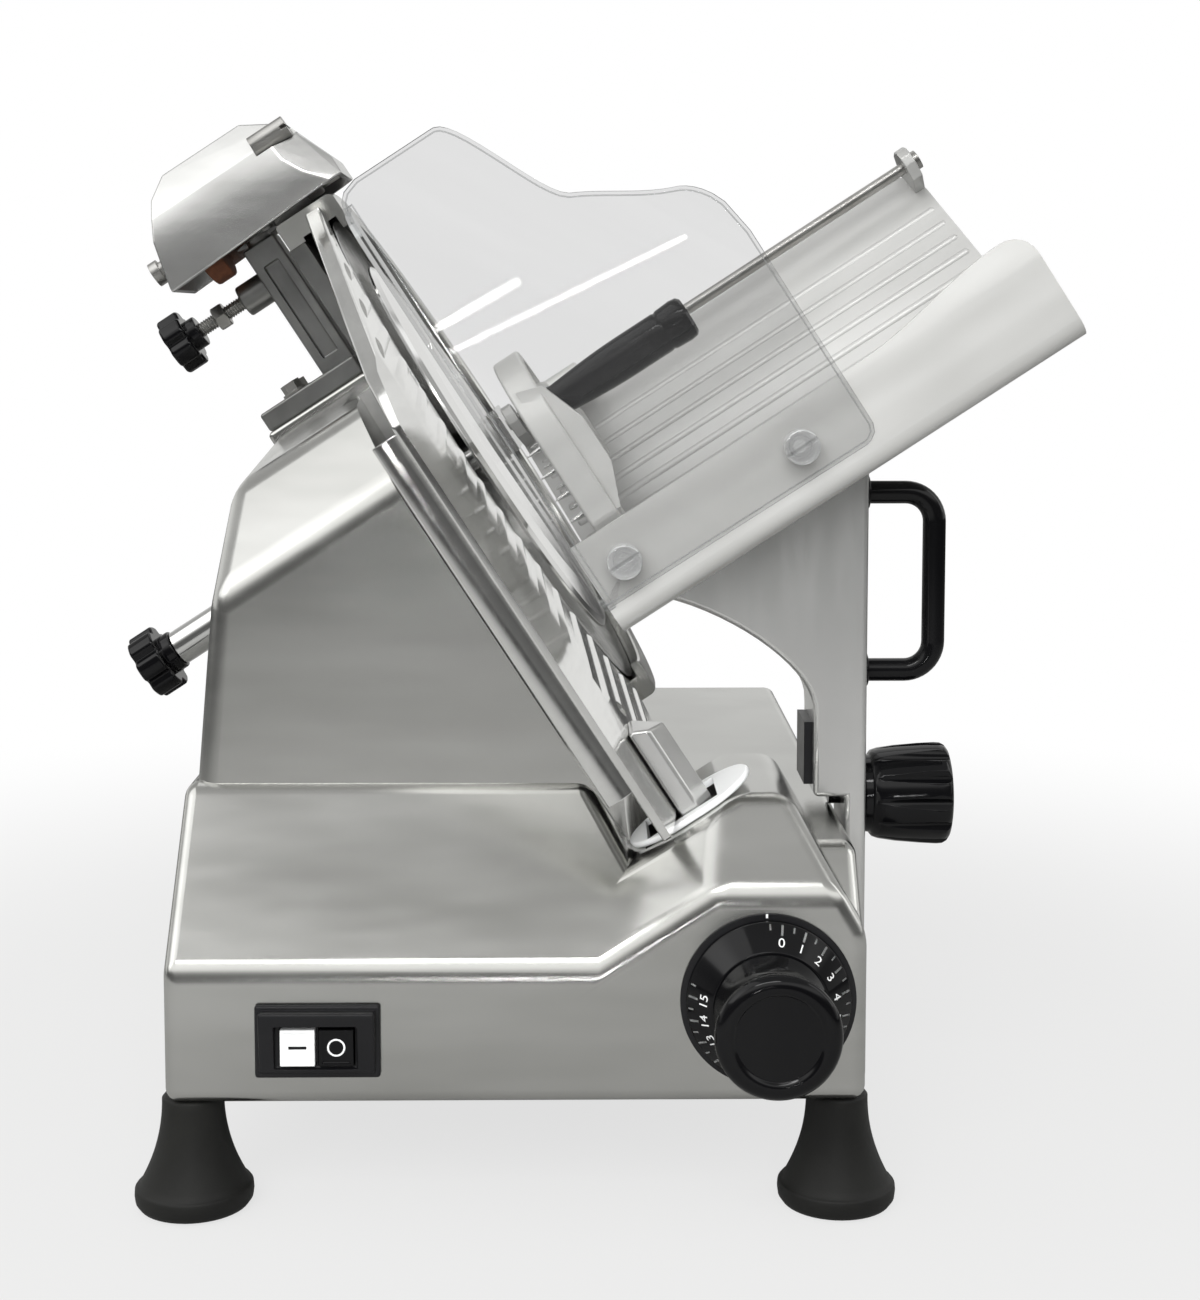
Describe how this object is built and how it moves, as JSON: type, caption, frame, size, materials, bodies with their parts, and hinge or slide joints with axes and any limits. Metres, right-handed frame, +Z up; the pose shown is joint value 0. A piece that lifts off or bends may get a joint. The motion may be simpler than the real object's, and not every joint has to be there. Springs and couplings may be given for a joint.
{
  "type": "gravity feed slicer",
  "caption": "Gravity feed food slicer with inclined round blade, sliding carriage tray, thickness gauge and dial, clear hand guard, pusher and sharpener on a cast base with rubber feet.",
  "frame": {"origin": "middle of the outline at floor level, with the four feet on the floor", "axes": "+X to the operator's right, along the carriage's overhang; +Y from the operator to the back, along the carriage travel; +Z up"},
  "size_m": [0.4822, 0.507, 0.4971],
  "materials": {
    "cast": "satin polished casting",
    "sheet": "brushed",
    "polished": "polished",
    "steel": "turned",
    "blade_steel": "ground",
    "bronze": "turned",
    "black": "matte",
    "gloss_black": "glossy",
    "grip_black": "satin",
    "white": "smooth",
    "clear": "clear acrylic",
    "foot": "matte",
    "belt": "matte",
    "motor_paint": "satin paint",
    "stone": "gritty bonded abrasive"
  },
  "bodies": {
    "frame": {"base_housing": "cast", "bottom_cover": "cast", "feet": "foot", "foot_bolts": "steel", "cord_gland": "black", "switch_bezel": "black", "switch_body": "black", "switch_springs": "steel", "dial_ring": "black", "gauge_seal": "white", "gauge_rods": "steel", "gauge_bracket": "cast", "hub_bearings": "steel", "bearing_housing": "cast", "drive_belt": "belt", "motor": "motor_paint", "motor_mount": "cast", "blade_ring": "cast", "blade_cover": "polished", "tie_tube": "polished", "slide_rods": "steel", "rod_supports": "cast", "sharp_bracket": "cast", "sharp_bolts": "steel"},
    "on_button": {"on_button": "white"},
    "off_button": {"off_button": "black"},
    "dial": {"dial_scale": "gloss_black", "dial_grip": "gloss_black", "dial_axle": "steel", "cam_plate": "steel"},
    "gauge": {"gauge_plate": "sheet", "gauge_slider": "steel"},
    "blade": {"blade": "blade_steel", "blade_screws": "steel", "blade_shaft": "steel"},
    "rotor": {"motor_rotor": "steel"},
    "cover_knob": {"tie_rod": "steel", "cover_knob": "gloss_black"},
    "carriage": {"carriage_slider": "cast", "carriage_bushes": "bronze", "carriage_arm": "cast", "arm_pad": "black", "tray": "sheet", "push_handle": "gloss_black", "carriage_screws": "steel", "hand_guard": "clear", "guard_screws": "clear", "pusher_rod": "steel"},
    "lock_knob": {"lock_knob": "gloss_black"},
    "pusher_bush": {"pusher_bush": "black"},
    "pusher": {"pusher_arm": "cast", "pusher_teeth": "steel", "pusher_grip": "grip_black"},
    "sharp_sleeve": {"sharp_sleeve": "cast"},
    "sharp_head": {"sharp_cover": "cast", "sharp_stones": "stone"},
    "grind_button": {"grind_button": "steel"},
    "hone_button": {"hone_button": "steel"},
    "sharp_knob": {"lock_screw": "steel", "sharp_knob": "gloss_black"}
  },
  "joints": [
    {"name": "carriage_slide", "type": "slide", "parent": "frame", "child": "carriage", "axis": [0, 1, 0], "range_m": [0, 0.25]},
    {"name": "gauge_slide", "type": "slide", "parent": "frame", "child": "gauge", "axis": [-0.8387, 0, -0.5446], "range_m": [0, 0.015]},
    {"name": "dial_turn", "type": "hinge", "parent": "frame", "child": "dial", "pos_m": [0.09345, -0.2015, 0.096], "axis": [0, -1, 0], "range_deg": [0, 267]},
    {"name": "blade_spin", "type": "hinge", "parent": "frame", "child": "blade", "pos_m": [-0.03954, 0.0885, 0.316], "axis": [0.8387, 0, 0.5446], "continuous": true},
    {"name": "motor_spin", "type": "hinge", "parent": "frame", "child": "rotor", "pos_m": [-0.02723, 0.0885, 0.18688], "axis": [0.8387, 0, 0.5446], "continuous": true},
    {"name": "cover_knob_turn", "type": "hinge", "parent": "frame", "child": "cover_knob", "pos_m": [-0.21566, 0.0885, 0.20163], "axis": [0.8387, 0, 0.5446], "continuous": true},
    {"name": "lock_knob_turn", "type": "hinge", "parent": "carriage", "child": "lock_knob", "pos_m": [0.14846, -0.0815, 0.159], "axis": [1, 0, 0], "continuous": true},
    {"name": "pusher_slide", "type": "slide", "parent": "carriage", "child": "pusher_bush", "axis": [0.8387, 0, 0.5446], "range_m": [0, 0.18]},
    {"name": "pusher_swing", "type": "hinge", "parent": "pusher_bush", "child": "pusher", "pos_m": [0.01002, 0.0065, 0.35534], "axis": [-0.8387, 0, -0.5446], "range_deg": [0, 100]},
    {"name": "on_press", "type": "slide", "parent": "frame", "child": "on_button", "axis": [0, 1, 0], "range_m": [0, 0.0025], "stiffness_N_per_m": 400, "springref_m": -0.002},
    {"name": "off_press", "type": "slide", "parent": "frame", "child": "off_button", "axis": [0, 1, 0], "range_m": [0, 0.0025], "stiffness_N_per_m": 400, "springref_m": -0.002},
    {"name": "sharpener_lift", "type": "slide", "parent": "frame", "child": "sharp_sleeve", "axis": [-0.5446, 0, 0.8387], "range_m": [0, 0.03]},
    {"name": "sharpener_turn", "type": "hinge", "parent": "sharp_sleeve", "child": "sharp_head", "pos_m": [-0.16518, 0.0885, 0.43234], "axis": [-0.5446, 0, 0.8387], "range_deg": [0, 60]},
    {"name": "grind_press", "type": "slide", "parent": "sharp_head", "child": "grind_button", "axis": [0.8387, 0, 0.5446], "range_m": [0, 0.003], "stiffness_N_per_m": 500, "springref_m": -0.002},
    {"name": "hone_press", "type": "slide", "parent": "sharp_head", "child": "hone_button", "axis": [0.8387, 0, 0.5446], "range_m": [0, 0.003], "stiffness_N_per_m": 500, "springref_m": -0.002},
    {"name": "sharp_knob_turn", "type": "hinge", "parent": "frame", "child": "sharp_knob", "pos_m": [-0.21866, 0.0885, 0.36781], "axis": [0.8387, 0, 0.5446], "continuous": true}
  ],
  "couplings": [
    {"joint": "dial_turn", "follows": "gauge_slide", "rad_per_m": 310.67},
    {"joint": "motor_spin", "follows": "blade_spin", "ratio": 2.125}
  ]
}
